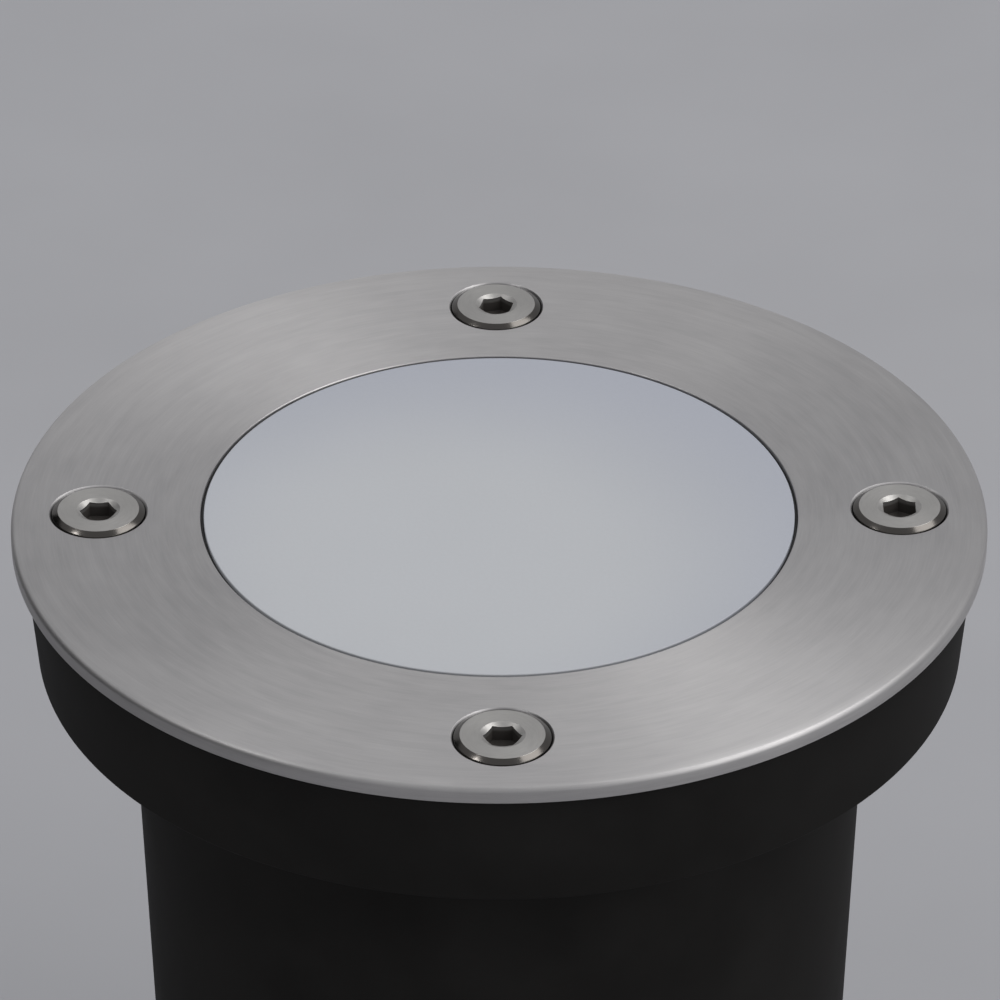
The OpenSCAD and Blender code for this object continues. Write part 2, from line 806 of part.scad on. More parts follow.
// Flat rubber washer between the gland's hexagon and the pot.
module gland_washer() {
    color([0.05, 0.05, 0.05])
    band(gland_r + snug, gland_hex_w / 2, z_gland_hex, z_base);
}

module gland_locknut() {
    color([0.1, 0.1, 0.1])
    difference() {
        hex_bar(locknut_w, z_floor, z_floor + locknut_h);
        disc(gland_r + snug, z_floor - over, z_floor + locknut_h + over);
    }
}

// Rubber seal: a bush in the body's bore with a collar that the nut presses.
module gland_seal() {
    color([0.06, 0.06, 0.06])
    difference() {
        union() {
            disc(seal_r, z_thread_low, z_seal + seal_l);
            disc(gland_r - snug, z_seal, z_thread_low);
        }
        disc(cable_r, z_seal - over, z_seal + seal_l + over);
    }
}

// Clamping nut: a hexagon with a round mouth, threaded over the body's lower thread.
module gland_nut() {
    color([0.1, 0.1, 0.1])
    difference() {
        intersection() {
            hex_bar(gland_hex_w, z_nut, z_nut_top);
            translate([0, 0, z_nut_top]) mirror([0, 0, 1]) rotate_extrude()
                rounded_outside(0, nut_round_r, 0, nut_h, dome_r);
        }
        disc(gland_r + loose, z_nut + nut_skin, z_nut_top + over);
        disc(gland_bore_r, z_nut - over, z_nut_top);
    }
}

mounting_sleeve();
housing();
trim_ring();
glass();
glass_gasket();
trim_screw_front();
trim_screw_right();
trim_screw_back();
trim_screw_left();
lamp_body();
lamp_front();
lamp_pins();
lamp_holder();
holder_bracket();
holder_screws();
holder_nuts();
bracket_screws();
terminal_block();
terminal_screws();
terminal_fixing();
live_lead();
neutral_lead();
earth_lead();
earth_lug();
earth_screw();
gland_body();
gland_washer();
gland_locknut();
gland_seal();
gland_nut();
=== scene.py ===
import json
import math

import bmesh
import bpy
import numpy as np
from mathutils import Matrix, Vector


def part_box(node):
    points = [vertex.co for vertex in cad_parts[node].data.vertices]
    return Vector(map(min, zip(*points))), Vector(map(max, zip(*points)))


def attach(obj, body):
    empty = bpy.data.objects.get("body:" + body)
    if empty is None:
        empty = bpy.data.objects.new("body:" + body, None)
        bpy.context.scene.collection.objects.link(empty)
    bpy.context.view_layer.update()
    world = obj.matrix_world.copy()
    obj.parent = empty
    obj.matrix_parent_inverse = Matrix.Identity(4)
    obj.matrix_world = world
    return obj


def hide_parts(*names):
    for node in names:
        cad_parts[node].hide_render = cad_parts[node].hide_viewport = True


# A round ground light: brushed ring with four screws, frosted glass, light unit and black sleeve.
# Shapes are worked out in millimetres and written to the meshes in metres.

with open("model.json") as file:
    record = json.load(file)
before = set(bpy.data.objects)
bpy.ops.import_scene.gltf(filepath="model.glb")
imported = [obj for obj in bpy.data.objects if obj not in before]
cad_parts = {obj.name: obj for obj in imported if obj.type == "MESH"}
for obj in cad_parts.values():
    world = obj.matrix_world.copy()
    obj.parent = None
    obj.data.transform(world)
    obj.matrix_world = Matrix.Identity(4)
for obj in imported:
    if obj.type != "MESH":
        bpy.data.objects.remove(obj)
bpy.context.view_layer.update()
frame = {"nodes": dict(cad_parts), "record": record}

MM = 0.001
TURN = 2 * math.pi

body_of_node = {n: b for b, nodes in frame["record"]["behaviour"]["bodies"].items() for n in nodes}


def box_mm(node):
    """Lowest and highest corner of a CAD node, in millimetres."""
    low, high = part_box(node)
    return np.array(low) / MM, np.array(high) / MM


# Sizes that the frame gives

ring_low, ring_high = box_mm("trim_ring")
RING_R = ring_high[0]
TOP, UNDER = ring_high[2], ring_low[2]
glass_low, glass_high = box_mm("glass")
gasket_low, gasket_high = box_mm("glass_gasket")
head_low, head_high = box_mm("trim_screw_front")
SCREW_R = -(head_low[1] + head_high[1]) / 2
HEAD_R = (head_high[1] - head_low[1]) / 2
HEAD_TOP = head_high[2]

# Sizes as in the construction: window and seal, gasket, countersink, and the screw's bevel and socket mouth

SEAL_W = 0.4
GLASS_STEP = 4
WINDOW_R = glass_high[0] - GLASS_STEP
GLASS_R = WINDOW_R - SEAL_W
SNUG = 0.1
GASKET_LIP = 0.6
GASKET_BASE = 1.5
GASKET_WALL = 1.5
CONE_R = 6
HEAD_ROOM = 0.1
BEVEL_W, BEVEL_H = 0.75, 0.4
MOUTH_R = 2.7

# The ring's edges: the rim's round, how far the face falls to it, and the small round of the other edges

RIM_ROUND = 0.6
RIM_FALL = 0.06
EDGE_ROUND = 0.15

# Meshes: how near two points are one, what still counts as flat, and which bends stay crisp

WELD = 0.001
CAD_WELD = 0.002
FLAT = math.radians(0.3)
CRISP = math.radians(32)
BEVEL_STEPS = 3

# Steps along the arcs and the straight sides of a quarter of the ring, and round a screw

ARC_STEPS, SIDE_STEPS = 128, 24
SCREW_SIDES = 96

# On a screw's map the section starts at 0 at the socket's mouth, and the thread lies beyond this

THREAD_WAY = 10


# Shapes


def rounded(corners, closed=True, steps=6):
    """A profile with rounded corners. Each corner is (radius from the axis, height, rounding): its arc
    touches both sides, so its centre lies on the corner's bisector, rounding / sin(half the corner's
    angle) away."""
    points = [np.array(c[:2], float) for c in corners]
    out = []
    for i, corner in enumerate(corners):
        here, rounding = points[i], (corner[2] if len(corner) > 2 else 0)
        ends = not closed and i in (0, len(corners) - 1)
        if rounding <= 0 or ends:
            out.append(here)
            continue
        back = points[i - 1] - here
        ahead = points[(i + 1) % len(points)] - here
        back /= np.linalg.norm(back)
        ahead /= np.linalg.norm(ahead)
        half = math.acos(np.clip(back @ ahead, -1, 1)) / 2
        bisector = (back + ahead) / np.linalg.norm(back + ahead)
        centre = here + bisector * rounding / math.sin(half)
        first = here + back * rounding / math.tan(half) - centre
        last = here + ahead * rounding / math.tan(half) - centre
        sweep = math.pi - 2 * half
        t = np.linspace(0, 1, steps + 1)[:, None]
        arc = (first * np.sin((1 - t) * sweep) + last * np.sin(t * sweep)) / math.sin(sweep)
        out.extend(centre + arc)
    return np.array(out + out[:1] if closed else out)


def path_length(profile):
    """Length along a profile up to each of its points."""
    steps = np.linalg.norm(np.diff(profile, axis=0), axis=1)
    return np.concatenate([[0], np.cumsum(steps)])


def turned(profile, sides):
    """A profile carried round Z: (radius cos a, radius sin a, height). Sides is a number of equal steps, or
    the angles. The map holds the way along the profile and the angle. Returns points and map, each a grid
    of rows along the profile and columns round the axis."""
    profile = np.asarray(profile, float)
    a = np.linspace(0, TURN, sides + 1) if np.isscalar(sides) else sides
    radius, height = profile.T
    points = np.stack(
        [np.outer(radius, np.cos(a)), np.outer(radius, np.sin(a)), np.outer(height, np.ones_like(a))], -1
    )
    way = path_length(profile)
    return points, np.stack(np.broadcast_arrays(way[:, None], a[None, :]), -1)


def moved(patch, turn, shift=(0, 0, 0)):
    """A patch turned about Z, after a shift."""
    points, uv = patch
    c, s = math.cos(turn), math.sin(turn)
    return (points + np.array(shift)) @ np.array([[c, s, 0], [-s, c, 0], [0, 0, 1]]), uv


def quads(patches):
    """Joins patches: all points in a row, the four corners of every cell, and the map's value at each
    corner."""
    points, cells, maps, start = [], [], [], 0
    for grid, uv in patches:
        rows, columns = grid.shape[:2]
        n = np.arange(rows * columns).reshape(rows, columns) + start
        cells.append(np.stack([n[:-1, :-1], n[:-1, 1:], n[1:, 1:], n[1:, :-1]], -1).reshape(-1, 4))
        points.append(grid.reshape(-1, 3))
        maps.append(np.asarray(uv, float).reshape(-1, 2))
        start += rows * columns
    return np.concatenate(points), np.concatenate(cells), np.concatenate(maps)


def mesh_of(name, patches, sharp):
    """One closed mesh from patches. Points at one place become one, a cell with two such corners becomes a
    triangle, and a cell with no area goes. Edges that bend more than sharp stay crisp."""
    points, cells, maps = quads(patches)
    _, first, same = np.unique(np.round(points, 5), axis=0, return_index=True, return_inverse=True)
    welded = same.reshape(-1)[cells]
    keep = welded != np.roll(welded, 1, axis=1)
    size = keep.sum(1)
    good = size >= 3
    keep, size, cells, welded = keep[good], size[good], cells[good], welded[good]
    mesh = bpy.data.meshes.new(name)
    mesh.vertices.add(len(first))
    mesh.vertices.foreach_set("co", (points[first] * MM).astype(np.float32).ravel())
    mesh.loops.add(int(size.sum()))
    mesh.loops.foreach_set("vertex_index", welded[keep].astype(np.int32))
    mesh.polygons.add(len(size))
    mesh.polygons.foreach_set("loop_start", np.concatenate([[0], np.cumsum(size)[:-1]]).astype(np.int32))
    uv = mesh.uv_layers.new(name="turned")
    uv.data.foreach_set("uv", maps[cells[keep]].astype(np.float32).ravel())
    mesh.update(calc_edges=True)
    mesh.validate()
    shell = bmesh.new()
    shell.from_mesh(mesh)
    bmesh.ops.remove_doubles(shell, verts=shell.verts, dist=WELD * MM)
    bmesh.ops.recalc_face_normals(shell, faces=shell.faces)
    shell.to_mesh(mesh)
    shell.free()
    mesh.polygons.foreach_set("use_smooth", np.ones(len(mesh.polygons), bool))
    mesh.set_sharp_from_angle(angle=sharp)
    return mesh


def piece(name, patches, finish, node, bevel=0, sharp=CRISP):
    """A new piece that stands for a CAD node and rides on its body. Bevel is the width of its softened
    edges."""
    dressed(name, mesh_of(name, patches, sharp), finish, node, bevel, sharp)


def softened(name, node, finish, bevel):
    """A CAD node's own shape with soft edges: its mesh is copied and merged, its flat triangles become
    whole faces, and its edges get a bevel."""
    shell = bmesh.new()
    shell.from_mesh(frame["nodes"][node].data)
    bmesh.ops.remove_doubles(shell, verts=shell.verts, dist=CAD_WELD * MM)
    bmesh.ops.dissolve_limit(
        shell, angle_limit=FLAT, verts=shell.verts, edges=shell.edges, delimit={"NORMAL"}
    )
    mesh = bpy.data.meshes.new(name)
    shell.to_mesh(mesh)
    shell.free()
    mesh.polygons.foreach_set("use_smooth", np.ones(len(mesh.polygons), bool))
    mesh.set_sharp_from_angle(angle=CRISP)
    dressed(name, mesh, finish, node, bevel, CRISP)


def dressed(name, mesh, finish, node, bevel, sharp):
    """Puts a mesh in the place of its CAD node, with its material and modifiers."""
    obj = bpy.data.objects.new(name, mesh)
    bpy.context.scene.collection.objects.link(obj)
    obj.data.materials.append(finish)
    if bevel:
        edge = obj.modifiers.new("softened edges", "BEVEL")
        edge.width = bevel * MM
        edge.segments = BEVEL_STEPS
        edge.limit_method = "ANGLE"
        edge.angle_limit = sharp
        edge.harden_normals = True
    flat = obj.modifiers.new("flat faces stay flat", "WEIGHTED_NORMAL")
    flat.keep_sharp = True
    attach(obj, body_of_node[node])
    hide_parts(node)


# Materials


def linear(code):
    """An sRGB hex colour as linear red, green, blue and alpha."""
    values = [int(code[i : i + 2], 16) / 255 for i in (1, 3, 5)]
    return [v / 12.92 if v <= 0.04045 else ((v + 0.055) / 1.055) ** 2.4 for v in values] + [1]


def add(tree, kind, inputs=None, **settings):
    """Adds a node with its settings. Inputs maps a socket's name or number to a value or to another
    output."""
    n = tree.nodes.new(kind)
    for key, value in settings.items():
        setattr(n, key, value)
    for key, value in (inputs or {}).items():
        if isinstance(value, bpy.types.NodeSocket):
            tree.links.new(value, n.inputs[key])
        else:
            n.inputs[key].default_value = value
    return n


def material(name, colour, **sockets):
    """A material with one Principled shader. Returns the material, its tree and the shader."""
    mat = bpy.data.materials.new(name)
    mat.use_nodes = True
    tree = mat.node_tree
    tree.nodes.clear()
    shader = add(tree, "ShaderNodeBsdfPrincipled", {"Base Color": linear(colour)})
    for key, value in sockets.items():
        shader.inputs[key.replace("_", " ")].default_value = value
    add(tree, "ShaderNodeOutputMaterial", {"Surface": shader.outputs[0]})
    return mat, tree, shader


def scale_for(size_mm):
    """Noise scale on Object coordinates whose grains are about this many millimetres wide."""
    return 1 / (size_mm * MM)


# Most of a noise lies between these, so ranges and colours are spread over them.
NOISE_SPAN = {"From Min": 0.3, "From Max": 0.7}


def mottled(tree, noise, dark, light):
    """A colour that goes from dark to light with a noise."""
    share = add(tree, "ShaderNodeMapRange", {"Value": noise, **NOISE_SPAN}).outputs[0]
    return add(
        tree,
        "ShaderNodeMix",
        {"Factor": share, "A": linear(dark), "B": linear(light)},
        data_type="RGBA",
    ).outputs["Result"]


def worn(tree, shader, noise, rough, relief, relief_mm):
    """Lets a noise carry the roughness from its first to its second value, and gives the surface a relief.
    Returns the roughness, for a finish that adds to it."""
    bump = add(tree, "ShaderNodeBump", {"Height": relief, "Strength": 1, "Distance": relief_mm * MM})
    tree.links.new(bump.outputs[0], shader.inputs["Normal"])
    roughness = add(
        tree, "ShaderNodeMapRange", {"Value": noise, **NOISE_SPAN, "To Min": rough[0], "To Max": rough[1]}
    ).outputs[0]
    tree.links.new(roughness, shader.inputs["Roughness"])
    return roughness


def grain(name, dark, light, grain_mm, relief_mm, rough, **sockets):
    """A surface with a fine even grain. The grain gives it its relief, and clouds of 40 grains shift its
    colour and its roughness a little, as handling and moulding do."""
    mat, tree, shader = material(name, light, **sockets)
    place = add(tree, "ShaderNodeTexCoord").outputs["Object"]
    grains, clouds = (
        add(
            tree, "ShaderNodeTexNoise", {"Vector": place, "Scale": scale_for(size), "Detail": detail}
        ).outputs["Fac"]
        for size, detail in ((grain_mm, 4), (40 * grain_mm, 2))
    )
    tree.links.new(mottled(tree, clouds, dark, light), shader.inputs["Base Color"])
    worn(tree, shader, clouds, rough, grains, relief_mm)
    return mat


def brushed_stainless():
    """Stainless steel, ground on a turntable. Fine scratches run round the axis, so the light fans out from
    the middle. Its round rim is a little duller, and painted shade keeps the countersinks dark."""
    mat, tree, shader = material(
        "stainless steel, brushed round", "#b3b1b0", Metallic=1, Anisotropic=0.7
    )
    face_rough, rim_rough, relief_mm = (0.47, 0.41), 0.5, 0.004
    rim_from, rim_to = RING_R - 0.9, RING_R - 0.4
    # Where the painted shade lies: between two radii, and fading in between two depths below the face.
    shade_from, shade_to = WINDOW_R + 0.6, RING_R - 1.4
    shade_starts, shade_full = 0.06, 0.3
    cloud_mm, cloud_share, smear_share = 9, 0.5, 0.4
    place = add(tree, "ShaderNodeTexCoord").outputs["Object"]
    flat = add(tree, "ShaderNodeVectorMath", {0: place, 1: (1, 1, 0)}, operation="MULTIPLY").outputs[0]
    radius = add(tree, "ShaderNodeVectorMath", {0: flat}, operation="LENGTH").outputs["Value"]
    height = add(tree, "ShaderNodeSeparateXYZ", {0: place}).outputs["Z"]
    way = add(tree, "ShaderNodeMath", {0: radius, 1: height}, operation="SUBTRACT").outputs[0]
    unit = add(tree, "ShaderNodeVectorMath", {0: flat}, operation="NORMALIZE").outputs[0]

    def scratches(length_mm, width_mm):
        """Noise drawn out round the axis: its place is the unit vector from the axis, scaled so that
        scratches on the middle of the face have this length, and the way outwards. Real scratches are about
        0.05 mm wide, and these are wider, so that they show."""
        middle_r = 50
        around = add(
            tree, "ShaderNodeVectorMath", {0: unit, "Scale": middle_r / length_mm}, operation="SCALE"
        ).outputs[0]
        across = add(
            tree, "ShaderNodeMath", {0: way, 1: scale_for(width_mm)}, operation="MULTIPLY"
        ).outputs[0]
        lift = add(tree, "ShaderNodeCombineXYZ", {"Z": across}).outputs[0]
        where = add(tree, "ShaderNodeVectorMath", {0: around, 1: lift}).outputs[0]
        return add(tree, "ShaderNodeTexNoise", {"Vector": where, "Scale": 1, "Detail": 3}).outputs["Fac"]

    # Fine scratches, soft clouds and wider smears share the finish.
    fine, smears = scratches(5, 0.17), scratches(9, 1.1)
    clouds = add(
        tree, "ShaderNodeTexNoise", {"Vector": place, "Scale": scale_for(cloud_mm), "Detail": 3}
    ).outputs["Fac"]
    even = add(tree, "ShaderNodeMix", {"Factor": cloud_share, "A": fine, "B": clouds}).outputs[0]
    brushed = add(tree, "ShaderNodeMix", {"Factor": smear_share, "A": even, "B": smears}).outputs[0]

    # Painted shade: below the face, and neither at the window nor on the rim, the steel is painted near
    # black, in the countersinks and on the underside.
    depth = add(tree, "ShaderNodeMath", {0: TOP * MM, 1: height}, operation="SUBTRACT").outputs[0]
    deep = add(
        tree,
        "ShaderNodeMapRange",
        {"Value": depth, "From Min": shade_starts * MM, "From Max": shade_full * MM},
    ).outputs[0]
    inside = add(tree, "ShaderNodeMath", {0: radius, 1: shade_to * MM}, operation="LESS_THAN").outputs[0]
    outside = add(
        tree, "ShaderNodeMath", {0: radius, 1: shade_from * MM}, operation="GREATER_THAN"
    ).outputs[0]
    in_face = add(tree, "ShaderNodeMath", {0: inside, 1: outside}, operation="MULTIPLY").outputs[0]
    painted_shade = add(tree, "ShaderNodeMath", {0: in_face, 1: deep}, operation="MULTIPLY").outputs[0]
    steel = mottled(tree, brushed, "#b0aeae", "#c2c0bf")
    # The near black mixed in here is painted shade, not the steel's own colour.
    colour = add(
        tree, "ShaderNodeMix", {"Factor": painted_shade, "A": steel, "B": linear("#1b1a19")}, data_type="RGBA"
    ).outputs["Result"]
    tree.links.new(colour, shader.inputs["Base Color"])

    satin = worn(tree, shader, brushed, face_rough, brushed, relief_mm)
    rim = add(
        tree, "ShaderNodeMapRange", {"Value": radius, "From Min": rim_from * MM, "From Max": rim_to * MM}
    ).outputs[0]
    rough = add(tree, "ShaderNodeMix", {"Factor": rim, "A": satin, "B": rim_rough}).outputs[0]
    tree.links.new(rough, shader.inputs["Roughness"])
    tangent = add(
        tree,
        "ShaderNodeVectorTransform",
        {"Vector": unit},
        vector_type="VECTOR",
        convert_from="OBJECT",
        convert_to="WORLD",
    )
    tree.links.new(tangent.outputs[0], shader.inputs["Tangent"])
    return mat


def turned_stainless():
    """Stainless screw steel: turned on a lathe, so faint rings run round each head, and tumbled to a satin.
    The bevel is smooth and painted dark grey, a painted dark reflection, so it shows sharp glints, and
    painted shade darkens the socket and the groove round the head."""
    mat, tree, shader = material("stainless steel, turned", "#c2c0bd", Metallic=1, Anisotropic=0.3)
    land_rough, bevel_rough, shade_rough, relief_mm = (0.42, 0.48), 0.18, 0.8, 0.0008
    # Turning marks are about 0.05 mm apart, and these are 0.12 mm apart, so that they show.
    ring_step, marks_per_radian = 0.12, 2.5
    section = add(tree, "ShaderNodeUVMap", uv_map="turned").outputs[0]
    way = add(tree, "ShaderNodeSeparateXYZ", {0: section}).outputs["X"]
    land = HEAD_R - BEVEL_W - MOUTH_R
    groove_way = land + math.hypot(BEVEL_W, BEVEL_H)
    # Along the section: where the bevel's painted dark reflection and the groove's painted shade start, the
    # head ends and the socket's painted shade starts.
    bands = ((land - 0.02, land + 0.05), (groove_way, groove_way + 0.3), (9, 7), (-0.3, -0.9))
    past_land, past_bevel, on_head, socket = (
        add(tree, "ShaderNodeMapRange", {"Value": way, "From Min": start, "From Max": end}).outputs[0]
        for start, end in bands
    )
    # Painted dark reflection: the bevel's steel is painted dark grey, as if it mirrored dark surroundings.
    painted_dark_reflection = add(tree, "ShaderNodeMath", {0: past_land, 1: on_head}, operation="MULTIPLY").outputs[0]
    # Painted shade: the groove round the head and the socket are painted dark, and made rough.
    groove = add(tree, "ShaderNodeMath", {0: past_bevel, 1: on_head}, operation="MULTIPLY").outputs[0]
    painted_shade = add(tree, "ShaderNodeMath", {0: socket, 1: groove}, operation="MAXIMUM").outputs[0]
    rings = add(
        tree,
        "ShaderNodeVectorMath",
        {0: section, 1: (1 / ring_step, marks_per_radian, 0)},
        operation="MULTIPLY",
    ).outputs[0]
    marks = add(tree, "ShaderNodeTexNoise", {"Vector": rings, "Scale": 1, "Detail": 2}).outputs["Fac"]
    steel = mottled(tree, marks, "#a8a6a3", "#b1afac")
    # Painted colours: dark grey on the bevel is a painted dark reflection; near black in the groove and
    # grey in the socket are painted shade.
    for share, dark in ((painted_dark_reflection, "#575451"), (groove, "#1d1b1a"), (socket, "#5c5855")):
        steel = add(
            tree, "ShaderNodeMix", {"Factor": share, "A": steel, "B": linear(dark)}, data_type="RGBA"
        ).outputs["Result"]
    tree.links.new(steel, shader.inputs["Base Color"])
    rough = worn(tree, shader, marks, land_rough, marks, relief_mm)
    for share, gloss in ((painted_dark_reflection, bevel_rough), (painted_shade, shade_rough)):
        rough = add(tree, "ShaderNodeMix", {"Factor": share, "A": rough, "B": gloss}).outputs[0]
    tree.links.new(rough, shader.inputs["Roughness"])
    tangent = add(tree, "ShaderNodeTangent", direction_type="UV_MAP", uv_map="turned")
    tree.links.new(tangent.outputs[0], shader.inputs["Tangent"])
    return mat


def etched_glass():
    """Tempered soda-lime glass with an etched face: a satin grey-white with no clear image in it. Its
    middle is painted lighter, a painted light for what the white front of the lamp below sends through it,
    and its edge is painted bluer and darker, a painted shade."""
    mat, tree, shader = material("glass, etched", "#a6a8ac", IOR=1.52, Specular_IOR_Level=0.4)
    # Painted light: the lightest place lies a little left and in front of the middle, and fades between two
    # radii to the painted shade of the edge.
    painted_light_middle = (-7, -12, 0)
    middle_r, edge_r = 18, 52
    # The etch of real glass is under 0.1 mm, and this one is 0.5 mm, so that it shows.
    etch_mm, cloud_mm, relief_mm = 0.5, 30, 0.01
    place = add(tree, "ShaderNodeTexCoord").outputs["Object"]
    etch, clouds = (
        add(
            tree, "ShaderNodeTexNoise", {"Vector": place, "Scale": scale_for(size), "Detail": detail}
        ).outputs["Fac"]
        for size, detail in ((etch_mm, 4), (cloud_mm, 2))
    )
    frost = add(tree, "ShaderNodeMix", {"Factor": 0.5, "A": etch, "B": clouds}).outputs[0]
    shift = tuple(-part * MM for part in painted_light_middle)
    around = add(tree, "ShaderNodeVectorMath", {0: place, 1: shift}).outputs[0]
    flat = add(tree, "ShaderNodeVectorMath", {0: around, 1: (1, 1, 0)}, operation="MULTIPLY").outputs[0]
    radius = add(tree, "ShaderNodeVectorMath", {0: flat}, operation="LENGTH").outputs["Value"]
    edge = add(
        tree,
        "ShaderNodeMapRange",
        {"Value": radius, "From Min": middle_r * MM, "From Max": edge_r * MM},
        interpolation_type="SMOOTHSTEP",
    ).outputs[0]
    # Painted light in the middle, painted shade at the edge.
    painted_light = add(
        tree,
        "ShaderNodeMix",
        {"Factor": edge, "A": linear("#babcbf"), "B": linear("#a9acb5")},
        data_type="RGBA",
    ).outputs["Result"]
    dull = add(
        tree, "ShaderNodeMapRange", {"Value": frost, **NOISE_SPAN, "To Min": 0.95, "To Max": 1}
    ).outputs[0]
    colour = add(tree, "ShaderNodeVectorMath", {0: painted_light, "Scale": dull}, operation="SCALE").outputs[0]
    tree.links.new(colour, shader.inputs["Base Color"])
    worn(tree, shader, frost, (0.42, 0.5), etch, relief_mm)
    return mat


def striped_lead():
    """Silicone lead in green and yellow stripes about 2.5 mm wide, as an earth lead has, with a soft
    sheen."""
    mat, tree, shader = material("silicone lead, green and yellow", "#6f8f22")
    stripe_way, stripe_mm, blur, skin_mm = (0.7, 0.7, 0.1), 0.8, 0.1, 0.5
    place = add(tree, "ShaderNodeTexCoord").outputs["Object"]
    way = add(
        tree, "ShaderNodeVectorMath", {0: place, 1: stripe_way}, operation="DOT_PRODUCT"
    ).outputs["Value"]
    wave = add(tree, "ShaderNodeMath", {0: way, 1: scale_for(stripe_mm)}, operation="MULTIPLY").outputs[0]
    stripe = add(tree, "ShaderNodeMath", {0: wave}, operation="SINE").outputs[0]
    side = add(tree, "ShaderNodeMapRange", {"Value": stripe, "From Min": -blur, "From Max": blur})
    colour = add(
        tree,
        "ShaderNodeMix",
        {"Factor": side.outputs[0], "A": linear("#2e6b2f"), "B": linear("#c9b92a")},
        data_type="RGBA",
    ).outputs["Result"]
    tree.links.new(colour, shader.inputs["Base Color"])
    skin = add(
        tree, "ShaderNodeTexNoise", {"Vector": place, "Scale": scale_for(skin_mm), "Detail": 3}
    ).outputs["Fac"]
    worn(tree, shader, skin, (0.4, 0.5), skin, 0.01)
    return mat


# The ring and its screws


def map_round(points):
    """The map of points that lie round the axis: distance from it less height, and angle."""
    radius = np.hypot(points[..., 0], points[..., 1])
    return np.stack([radius - points[..., 2], np.arctan2(points[..., 1], points[..., 0])], -1)


def quarter_plate(inner, outer, hole, level):
    """A quarter of a flat ring with a round hole at its middle. The border is the quarter's two arcs and
    two straight sides, and the rows lie on lines from the hole to it: hole + share x (border - hole). The
    hole's outline is shared out so that no line crosses the window: the outer arc gets 100 degrees of it,
    each side 45 and the inner arc 170."""
    eighth = TURN / 8
    arc = np.linspace(-eighth, eighth, ARC_STEPS + 1)
    side = np.linspace(0, 1, SIDE_STEPS + 1)[1:-1]
    spoke = outer + (inner - outer) * side
    far, near = np.full(arc.shape, outer), np.full(arc.shape, inner)
    radius = np.concatenate([far, spoke, near, spoke[::-1], [outer]])
    left, right = np.full(side.shape, eighth), np.full(side.shape, -eighth)
    angle = np.concatenate([arc, left, arc[::-1], right, [-eighth]])
    border = np.stack([radius * np.cos(angle), radius * np.sin(angle)], -1)
    corners = np.cumsum([0, ARC_STEPS, SIDE_STEPS, ARC_STEPS, SIDE_STEPS])
    corner_turns = np.radians([-50, 50, 95, 265, 310])
    round_hole = np.interp(np.arange(len(border)), corners, corner_turns)
    centre = np.array([SCREW_R, 0])
    rim = centre + hole * np.stack([np.cos(round_hole), np.sin(round_hole)], -1)
    rows = np.array([0, 0.02, 0.35, 0.7, 0.985, 1])[:, None, None]
    flat = rim + rows * (border - rim)
    points = np.concatenate([flat, np.full(flat.shape[:2] + (1,), level)], -1)
    return points, map_round(points)


def hole_wall(plate, section):
    """Carries a section (hole's radius, height) round the hole that a quarter plate leaves, on the plate's
    lines."""
    points = plate[0][0]
    centre = np.array([SCREW_R, 0, 0])
    away = (points - centre) * [1, 1, 0]
    unit = away / np.linalg.norm(away, axis=1)[:, None]
    radius, height = np.asarray(section, float).T
    wall = centre + radius[:, None, None] * unit[None]
    wall[..., 2] = height[:, None]
    return wall, map_round(wall)


def four_quarters(patches):
    """Patches of one quarter, and the same turned to the other three."""
    out = []
    for k in range(4):
        for points, uv in (moved(p, TURN * (k / 4 - 1 / 4)) for p in patches):
            out.append((points, uv + [0, TURN * k / 4]))
    return out


def trim_ring(metal):
    """Flat ring with four countersinks. The face falls a little towards its rim, by the square of the way,
    as polishing leaves it, and the edges are small rounds."""
    face_out, face_in = RING_R - 3 * RIM_ROUND, WINDOW_R + EDGE_ROUND
    foot_out = RING_R - EDGE_ROUND
    mouth = CONE_R + HEAD_ROOM
    throat = mouth - (TOP - UNDER)
    break_edge = 0.07
    arcs = np.linspace(-TURN / 8, TURN / 8, ARC_STEPS + 1)
    top = quarter_plate(face_in, face_out, mouth + break_edge, TOP)
    foot = quarter_plate(WINDOW_R, foot_out, throat, UNDER)
    sink = rounded(
        [(mouth + break_edge, TOP), (mouth, TOP, break_edge), (throat, UNDER)], closed=False, steps=5
    )
    fall = np.linspace(0, 1, 7)[:-1, None]
    crown = np.array([face_out, TOP]) + fall * [2 * RIM_ROUND, 0] - fall**2 * [0, RIM_FALL]
    # The rim's corner lies about where the end of the fall, drawn on straight, meets the ring's side.
    rim_drop = 1.6 * RIM_FALL
    edge = rounded(
        [
            tuple(crown[-1]),
            (RING_R, TOP - rim_drop, RIM_ROUND),
            (RING_R, UNDER, EDGE_ROUND),
            (foot_out, UNDER),
        ],
        closed=False,
        steps=10,
    )
    outer = np.concatenate([crown[:-1], edge])
    inner = rounded(
        [(face_in, TOP), (WINDOW_R, TOP, EDGE_ROUND), (WINDOW_R, UNDER)], closed=False, steps=5
    )
    walls = [turned(profile, arcs)[0] for profile in (outer, inner)]
    quarter = [top, foot, hole_wall(top, sink)] + [(points, map_round(points)) for points in walls]
    piece("ring", four_quarters(quarter), metal, "trim_ring")


